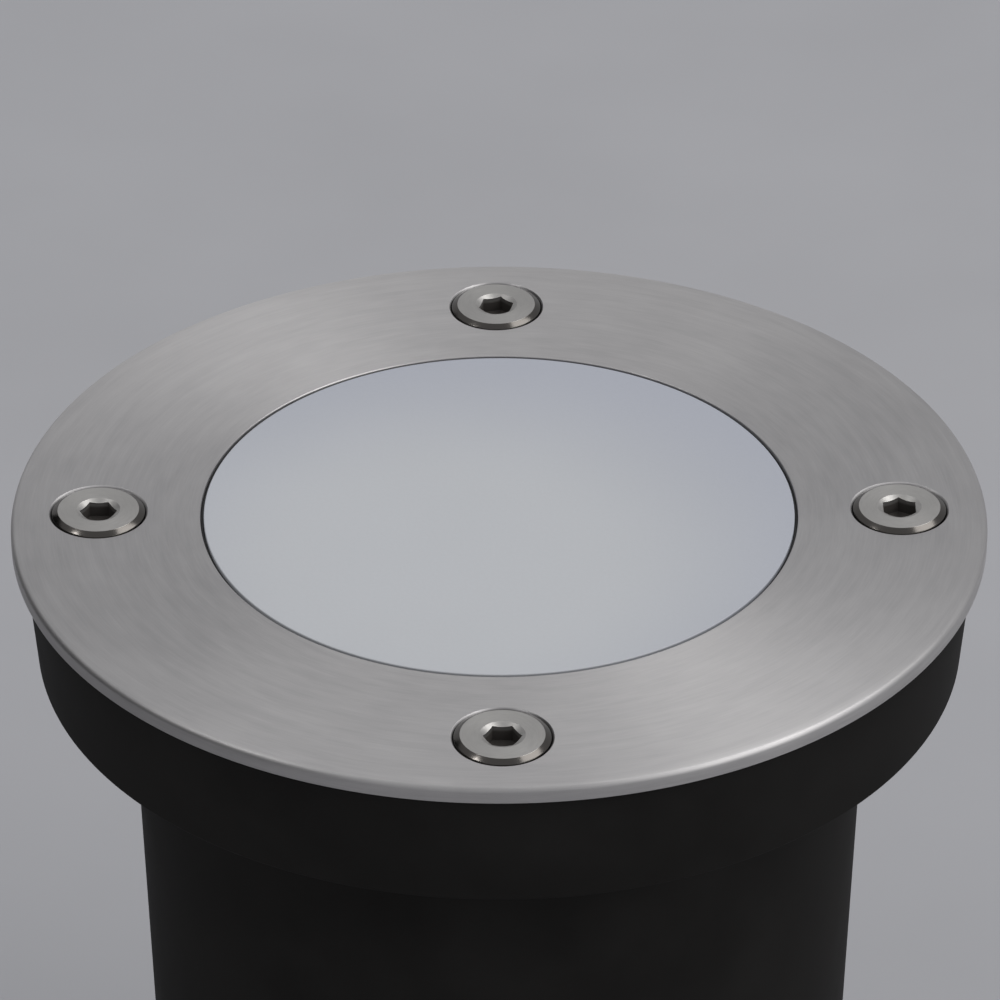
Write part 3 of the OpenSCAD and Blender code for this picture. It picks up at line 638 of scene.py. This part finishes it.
def screw_thread(radius, depth, pitch, top, foot):
    """A thread as a height field: the radius falls in a triangle wave of (height / pitch less angle / turn)
    with its crest and its root cut flat, fades into the shank at the top and is cut by a cone at the
    tip."""
    rows_per_turn, crest, tip_drop = 14, 0.12, 0.7
    z = np.linspace(top, foot, int((top - foot) / pitch * rows_per_turn) + 1)[:, None]
    a = np.linspace(0, TURN, SCREW_SIDES + 1)[None, :]
    wave = np.abs(((z / pitch - a / TURN) % 1) - 0.5) * 2
    tooth = np.clip((wave - crest) / (1 - 2 * crest), 0, 1)
    fade = np.clip((top - z) / pitch, 0, 1)
    r = radius - depth * tooth * fade
    r = np.minimum(r, radius - depth * tip_drop + (z - foot))
    points = np.stack([r * np.cos(a), r * np.sin(a), z + 0 * a], -1)
    return points, np.stack(np.broadcast_arrays(THREAD_WAY + top - z + radius, a), -1)


def hexagon(width, angle):
    """Distance from the axis to a hexagon's outline: its half width / cos of the angle from the nearest
    flat."""
    sixth = TURN / 6
    return width / 2 / np.cos((angle % sixth) - sixth / 2)


def trim_screw(name, node, turn, socket_turn, metal):
    """Countersunk screw: a head with a bevelled flat top turned from one profile, a hexagon socket whose
    mouth is a chamfer from the round to the hexagon, and a thread."""
    shank, length, pitch, thread_depth, runout = 3, 12, 1, 0.55, 0.3
    across, depth, drill_point = 4, 2.2, 0.8
    neck = TOP - (CONE_R - shank)
    shell = rounded(
        [
            (MOUTH_R, HEAD_TOP),
            (HEAD_R - BEVEL_W, HEAD_TOP, 0.06),
            (HEAD_R, HEAD_TOP - BEVEL_H, 0.12),
            (HEAD_R, TOP - (CONE_R - HEAD_R), 0.05),
            (shank, neck, 0.3),
            (shank, neck - runout),
        ],
        closed=False,
        steps=5,
    )
    thread = screw_thread(shank, thread_depth, pitch, neck - runout, HEAD_TOP - length)
    end, end_map = thread[0][-1], thread[1][-1]
    tip = (np.stack([end, end * [0, 0, 1]]), np.stack([end_map, end_map]))
    a = np.linspace(0, TURN, SCREW_SIDES + 1)
    hexagon_r = hexagon(across, a - socket_turn - TURN / 4)
    rows = [
        (np.full_like(a, MOUTH_R), np.full_like(a, HEAD_TOP)),
        (hexagon_r, HEAD_TOP - (MOUTH_R - hexagon_r) / 2),
        (hexagon_r, np.full_like(a, HEAD_TOP - depth)),
        (0 * a, np.full_like(a, HEAD_TOP - depth - drill_point)),
    ]
    r, z = (np.stack(values) for values in zip(*rows))
    socket = np.stack([r * np.cos(a), r * np.sin(a), z], -1)
    # On the map the socket lies below 0: its mouth, its chamfer, its depth and its floor.
    down = np.array([0, -0.15, -depth, -depth - across / 2])[:, None]
    socket_map = np.stack(np.broadcast_arrays(down, a[None]), -1)
    patches = [turned(shell, SCREW_SIDES), thread, tip, (socket, socket_map)]
    patches = [moved(p, turn - TURN / 4, (SCREW_R, 0, 0)) for p in patches]
    piece(name, patches, metal, node, sharp=math.radians(20))


# Glass, gasket and sleeve


def glass(etched):
    """Disc with a step that the ring clamps, turned from one profile."""
    low, high = glass_low[2], glass_high[2]
    shoulder = UNDER - GASKET_LIP
    profile = rounded(
        [
            (0, low),
            (glass_high[0], low, 0.4),
            (glass_high[0], shoulder, 0.4),
            (GLASS_R, shoulder, 0.3),
            (GLASS_R, high, 0.15),
            (0, high),
        ],
        closed=False,
    )
    piece("glass", [turned(profile, 256)], etched, "glass")


def gasket(rubber):
    """Channel section round the glass, with a thin lip that stands in the gap at the window."""
    low, high = gasket_low[2], gasket_high[2]
    base, lip = low + GASKET_BASE, UNDER - GASKET_LIP
    outer, seat = gasket_high[0], WINDOW_R + SNUG
    profile = rounded(
        [
            (seat, low, 0.2),
            (outer, low, 0.3),
            (outer, UNDER, 0.3),
            (WINDOW_R, UNDER, 0.05),
            (WINDOW_R, high, 0.15),
            (GLASS_R, high, 0.15),
            (GLASS_R, lip, 0.05),
            (outer - GASKET_WALL, lip, 0.1),
            (outer - GASKET_WALL, base, 0.1),
            (seat, base, 0.2),
        ]
    )
    piece("gasket", [turned(profile, 256)], rubber, "glass_gasket")


def sleeve(plastic):
    """The wall's section carried round Z in two halves. Below the top of the cable notches each half starts
    and ends at a notch: half its width is w up to the round and w cos s in it, and the angle there is
    asin(half width / r)."""
    low, high = box_mm("mounting_sleeve")
    collar, top = high[0], high[2]
    wall, flange_h, pot_wall, tube_room = 2.5, 13.3, 3, 3.7
    drain_r, notch_w, notch_h = 24, 20, 26
    collar_slope, tube_slope = math.tan(math.radians(4.9)), math.tan(math.radians(1.8))
    collar_rim, lead_in = 0.6, wall / 4
    rest = UNDER - flange_h
    collar_foot = rest - wall
    tube = WINDOW_R + SNUG + pot_wall + tube_room + wall
    half_w = notch_w / 2
    spring = notch_h - half_w

    def tube_at(z):
        """Radius of the tube's outside at a height: it narrows downwards."""
        return tube - (collar_foot - z) * tube_slope

    def collar_at(z):
        """Radius of the collar's outside at a height."""
        return collar - (top - z) * collar_slope

    # The section runs up the outside from the drain, over the collar, and down the inside to the drain.
    s = np.linspace(0, TURN / 4, 13)[1:]
    levels = np.concatenate([np.linspace(wall, spring, 7), spring + half_w * np.sin(s)])
    outer_z = np.concatenate([[0], levels])
    inner_z = np.concatenate([[wall], levels])
    outer_wall = np.stack([tube_at(outer_z), outer_z], -1)
    inner_wall = np.stack([tube_at(inner_z) - wall, inner_z], -1)
    outer_foot = np.stack([np.linspace(drain_r, tube_at(0), 9), np.zeros(9)], -1)[:-1]
    inner_foot = np.stack([np.linspace(drain_r, tube_at(wall) - wall, 9), np.full(9, wall)], -1)[:-1]
    chain_out = np.concatenate([outer_foot, outer_wall])
    chain_in = np.concatenate([inner_foot, inner_wall])
    upper = rounded(
        [
            tuple(chain_out[-1]),
            (tube, collar_foot, 0.6),
            (collar_at(collar_foot), collar_foot, collar_rim),
            (collar, top, 0.4),
            (collar - wall + lead_in, top, 0.3),
            (collar_at(top - lead_in) - wall, top - lead_in, 0.3),
            (collar_at(rest) - wall, rest, 0.5),
            (tube - wall, rest, 0.5),
            tuple(chain_in[-1]),
        ],
        closed=False,
        steps=8,
    )
    section = np.concatenate([chain_out[:-1], upper, chain_in[::-1][1:], chain_out[:1]])
    radius, height = section.T
    s_of = np.arcsin(np.clip((height - spring) / half_w, 0, 1))
    half = half_w * np.cos(s_of) * (height < notch_h - 1e-6)
    start = np.arcsin(np.clip(half / radius, 0, 1))
    u = np.linspace(0, 1, ARC_STEPS + 1)[None, :]
    angle = start[:, None] + u * (TURN / 2 - 2 * start[:, None])
    way = path_length(section)[:, None] + 0 * angle
    r, z = radius[:, None], height[:, None]
    points = np.stack([r * np.cos(angle), r * np.sin(angle), z + 0 * angle], -1)
    n = len(chain_out)
    notch_sides = []
    for column in (0, -1):
        outer_edge = points[:n, column]
        inner_edge = points[len(section) - 1 - n : len(section) - 1, column][::-1]
        strip = np.stack([outer_edge, inner_edge], 1)
        notch_sides.append((strip, np.stack([strip[..., 0], strip[..., 2]], -1)))
    half_sleeve = [(points, np.stack([way, angle], -1))] + notch_sides
    both = half_sleeve + [moved(p, TURN / 2) for p in half_sleeve]
    piece("sleeve", both, plastic, "mounting_sleeve", bevel=0.35)


# Lamp and gland


def lamp_lens(plastic):
    """Diffuser turned from one profile. Its face is a shallow dome, which falls by the square of the
    radius, less rings of depth x (1 - cos(radius x turn / pitch)) / 2."""
    low, high = box_mm("lamp_front")
    edge, depth, pitch, dome, rim_w, below_rim = high[0], 0.35, 1.9, 0.4, 1.2, 0.15
    r = np.linspace(0, edge - rim_w, 181)
    face = high[2] - below_rim - dome * (r / edge) ** 2 - depth * (1 - np.cos(r * TURN / pitch)) / 2
    rim = rounded(
        [
            (edge - rim_w, face[-1]),
            (edge - rim_w + 0.1, high[2], 0.05),
            (edge, high[2], 0.2),
            (edge, low[2], 0.1),
            (0, low[2]),
        ],
        closed=False,
    )
    profile = np.concatenate([np.stack([r, face], -1), rim[1:]])
    piece("lamp_lens", [turned(profile, 128)], plastic, "lamp_front")


def gland_nut(nylon):
    """Clamping nut: its outline at each height is a hexagon cut off at the corners, less grooves down those
    corners, less a dome of (1 - root(1 - drop squared)) towards its foot. Its bore is a clearance hole over
    a smaller mouth."""
    low, high = box_mm("gland_nut")
    foot_z, top_z = low[2], high[2]
    across, corner_r, dome, dome_share = 20, 11.2, 4.67, 0.8
    bore, mouth, skin = 8.3, 5.45, 1.6
    grooves, groove_depth, groove_from, groove_fade, plain_foot = 36, 0.22, 10.15, 0.4, 2
    a = np.linspace(0, TURN, 289)
    rise = dome * (1 - np.cos(np.linspace(0, TURN / 4, 15)))
    z = np.concatenate([foot_z + rise, [top_z - 0.5, top_z]])[:, None]
    drop = np.clip((foot_z + dome - z) / dome, 0, 1)
    outline = np.minimum(hexagon(across, a), corner_r)[None, :]
    on_corners = np.clip((outline - groove_from) / groove_fade, 0, 1)
    groove = groove_depth * np.clip(np.cos(a * grooves), 0, 1) ** 2 * on_corners
    r = outline - groove * (z > foot_z + plain_foot)
    r = r - dome * (1 - np.sqrt(1 - drop**2)) * dome_share
    r[-1] -= 0.4
    outer = np.stack([r * np.cos(a), r * np.sin(a), z + 0 * a], -1)
    way = np.stack(np.broadcast_arrays(z, a[None]), -1)
    hole = [
        (mouth, foot_z + 0.5),
        (mouth, foot_z + skin, 0.2),
        (bore, foot_z + skin, 0.2),
        (bore, top_z - 0.4),
        (bore + 0.4, top_z),
    ]
    inner = turned(rounded(hole, closed=False), a)
    lip = turned([(mouth + 0.5, foot_z), (mouth, foot_z + 0.5)], a)
    foot = (np.stack([outer[0], lip[0][0]]), np.stack([way[0], lip[1][0]]))
    top = (np.stack([outer[-1], inner[0][-1]]), np.stack([way[-1], inner[1][-1]]))
    patches = [(outer, way), foot, lip, inner, top]
    piece("gland_clamping_nut", patches, nylon, "gland_nut", sharp=math.radians(40))


def finish_of_nodes():
    """Gives every carried-over CAD node its real surface. Returns the rubber, which the gasket has too."""
    # Powder coat on a cast wall: dark grey, half dull, with a fine orange peel.
    cast = grain("aluminium, cast and powder coated", "#2f3032", "#38393b", 0.35, 0.03, (0.5, 0.62))
    # Stoved enamel: smooth and white, with a soft clear highlight.
    white = grain("lamp body, white enamel", "#d6d6d2", "#dededb", 0.6, 0.004, (0.22, 0.3))
    # Frosted moulding: warm white and even, a little glossy.
    lens = grain("lamp lens, frosted polycarbonate", "#d9d9d2", "#e2e2dc", 0.8, 0.01, (0.35, 0.45))
    # Fired and unglazed: cream and dull, with a dry fine grain.
    steatite = grain("steatite, unglazed", "#cfc9ba", "#dad5c8", 0.3, 0.02, (0.5, 0.65))
    # Zinc passivated clear: light grey metal with a cloudy sheen.
    zinc = grain("steel, zinc plated", "#a3a5a3", "#b9bab7", 0.5, 0.003, (0.28, 0.42), Metallic=1)
    # Nickel on brass: warm pale metal, brighter than the zinc.
    brass = grain("brass, nickel plated", "#b5ab93", "#c6bda6", 0.4, 0.003, (0.25, 0.35), Metallic=1)
    # Moulded and unpainted: ivory with a soft sheen.
    ivory = grain("polyamide, natural", "#cfcab8", "#d9d5c5", 0.5, 0.01, (0.4, 0.5))
    # Extruded silicone: full colour, soft sheen.
    brown = grain("silicone lead, brown", "#5a3423", "#6a3f2b", 0.4, 0.01, (0.4, 0.5))
    blue = grain("silicone lead, blue", "#24477f", "#2d5594", 0.4, 0.01, (0.4, 0.5))
    green = striped_lead()
    # Moulded, with the mould's fine spark grain: near black, half dull.
    black = grain("polyamide, black", "#151516", "#1d1d1e", 0.3, 0.01, (0.45, 0.55))
    # Moulded rubber: black and dull.
    rubber = grain("silicone rubber, black", "#0e0e0e", "#161616", 0.3, 0.01, (0.5, 0.65))
    for name, node, finish, bevel in (
        ("housing_casting", "housing", cast, 0.45),
        ("lamp_bowl", "lamp_body", white, 0.3),
        ("ceramic_holder", "lamp_holder", steatite, 0.2),
        ("bracket_strap", "holder_bracket", zinc, 0.15),
        ("three_pole_block", "terminal_block", ivory, 0.2),
        ("gland_body_thread", "gland_body", black, 0.25),
        ("gland_lock_nut", "gland_locknut", black, 0.25),
    ):
        softened(name, node, finish, bevel)
    lamp_lens(lens)
    gland_nut(black)
    small_steel = ["holder_screws", "holder_nuts", "bracket_screws", "terminal_fixing"]
    finishes = {
        zinc: small_steel + ["earth_lug", "earth_screw"],
        brass: ["lamp_pins", "terminal_screws"],
        brown: ["live_lead"],
        blue: ["neutral_lead"],
        green: ["earth_lead"],
        rubber: ["gland_washer", "gland_seal"],
    }
    for finish, nodes in finishes.items():
        for n in nodes:
            mesh = frame["nodes"][n].data
            mesh.materials.clear()
            mesh.materials.append(finish)
    return rubber


# Camera and studio

VIEW_PITCH = math.radians(32.303)
VIEW_TURN = math.radians(-0.46)
VIEW_DISTANCE = 787.6
VIEW_RISE = 1.235
VIEW_SIDE = 0.105
FOCAL_PIXELS = 6400
FRAME_PIXELS = 1000
SENSOR = 36
SIGHT_END = 20

FLOOR_R = 6
SKY_COLOUR, SKY_STRENGTH = "#d2d3d6", 0.76

# Each lamp's name, place and width in metres, and its power in watts.
SOFT_LAMPS = (
    ("right softbox", (0.93, 0.38, 1.74), 0.85, 9),
    ("low softbox", (1.15, -0.64, 1.05), 1.0, 6),
    ("left softbox", (-0.8, 0.08, 1.52), 0.2, 2.0),
    ("back softbox", (-0.06, 0.95, 1.78), 1.0, 1.6),
)


def camera():
    """Looks at the middle of the ring's top from the photograph's place: below the horizon by the pitch."""
    forward = Vector((0, math.cos(VIEW_PITCH), -math.sin(VIEW_PITCH)))
    up = Vector((0, math.sin(VIEW_PITCH), math.cos(VIEW_PITCH)))
    right = Vector((1, 0, 0))
    place = Vector((0, 0, TOP)) - forward * VIEW_DISTANCE + up * VIEW_RISE + right * VIEW_SIDE
    axes = Matrix((right, up, -forward)).transposed()
    turn = Matrix.Rotation(VIEW_TURN, 3, "Z")
    data = bpy.data.cameras.new("camera")
    data.sensor_width = SENSOR
    data.lens = FOCAL_PIXELS * SENSOR / FRAME_PIXELS
    data.clip_end = SIGHT_END
    obj = bpy.data.objects.new("camera", data)
    obj.matrix_world = Matrix.Translation(turn @ place * MM) @ (turn @ axes).to_4x4()
    bpy.context.scene.collection.objects.link(obj)
    bpy.context.scene.camera = obj


def soft_lamp(name, place, size, watts):
    """A square softbox that faces the ring."""
    data = bpy.data.lights.new(name, "AREA")
    data.size = size
    data.energy = watts
    obj = bpy.data.objects.new(name, data)
    obj.location = place
    aim = Vector((0, 0, TOP * MM)) - Vector(place)
    obj.rotation_euler = aim.to_track_quat("-Z", "Y").to_euler()
    bpy.context.scene.collection.objects.link(obj)


def pale_floor():
    """A wide disc of dull grey-white board with faint clouds, so that it takes a soft shadow and shows no
    gloss."""
    mat, tree, shader = material("pale floor", "#a9a9ac", Roughness=0.9, Specular_IOR_Level=0.1)
    place = add(tree, "ShaderNodeTexCoord").outputs["Object"]
    clouds = add(
        tree, "ShaderNodeTexNoise", {"Vector": place, "Scale": scale_for(60), "Detail": 3}
    ).outputs["Fac"]
    tree.links.new(mottled(tree, clouds, "#a7a7aa", "#ababae"), shader.inputs["Base Color"])
    disc = bmesh.new()
    bmesh.ops.create_circle(disc, cap_ends=True, segments=96, radius=FLOOR_R)
    mesh = bpy.data.meshes.new("floor")
    disc.to_mesh(mesh)
    disc.free()
    floor = bpy.data.objects.new("floor", mesh)
    mesh.materials.append(mat)
    bpy.context.scene.collection.objects.link(floor)


def black_flag():
    """A dull black board at the left, out of the picture, which the steel mirrors as a dark edge."""
    x, half_width, foot, head = -0.6, 0.75, 0.02, 0.7
    corners = [
        (x, -half_width, foot),
        (x, half_width, foot),
        (x, half_width, head),
        (x, -half_width, head),
    ]
    mesh = bpy.data.meshes.new("black flag")
    mesh.from_pydata(corners, [], [(0, 1, 2, 3)])
    mesh.materials.append(material("black board", "#0c0c0c", Roughness=1, Specular_IOR_Level=0)[0])
    board = bpy.data.objects.new("black flag", mesh)
    board.visible_camera = board.visible_diffuse = board.visible_shadow = False
    bpy.context.scene.collection.objects.link(board)


def studio():
    """A wide pale floor, a pale sky, a black board at the left and soft lamps."""
    pale_floor()
    world = bpy.data.worlds.new("studio")
    world.use_nodes = True
    sky = world.node_tree.nodes["Background"].inputs
    sky["Color"].default_value = linear(SKY_COLOUR)
    sky["Strength"].default_value = SKY_STRENGTH
    bpy.context.scene.world = world
    black_flag()
    for lamp in SOFT_LAMPS:
        soft_lamp(*lamp)
    bpy.context.scene.view_settings.view_transform = "Standard"


camera()
studio()
rubber = finish_of_nodes()
trim_ring(brushed_stainless())
screw_steel = turned_stainless()
# Each screw's side, its quarter turn from the front, and how far its socket is turned, in degrees.
for side, quarter, socket in (("front", 0, 0), ("right", 1, -60), ("back", 2, -165), ("left", 3, -270)):
    trim_screw("screw_" + side, "trim_screw_" + side, TURN * quarter / 4, math.radians(socket), screw_steel)
glass(etched_glass())
gasket(rubber)
# Moulded polypropylene with a fine spark grain: black and dull, with hardly any gloss at a low angle.
sleeve(grain("polypropylene, black", "#1f1e1d", "#252423", 0.3, 0.006, (0.6, 0.7), Specular_IOR_Level=0.04))
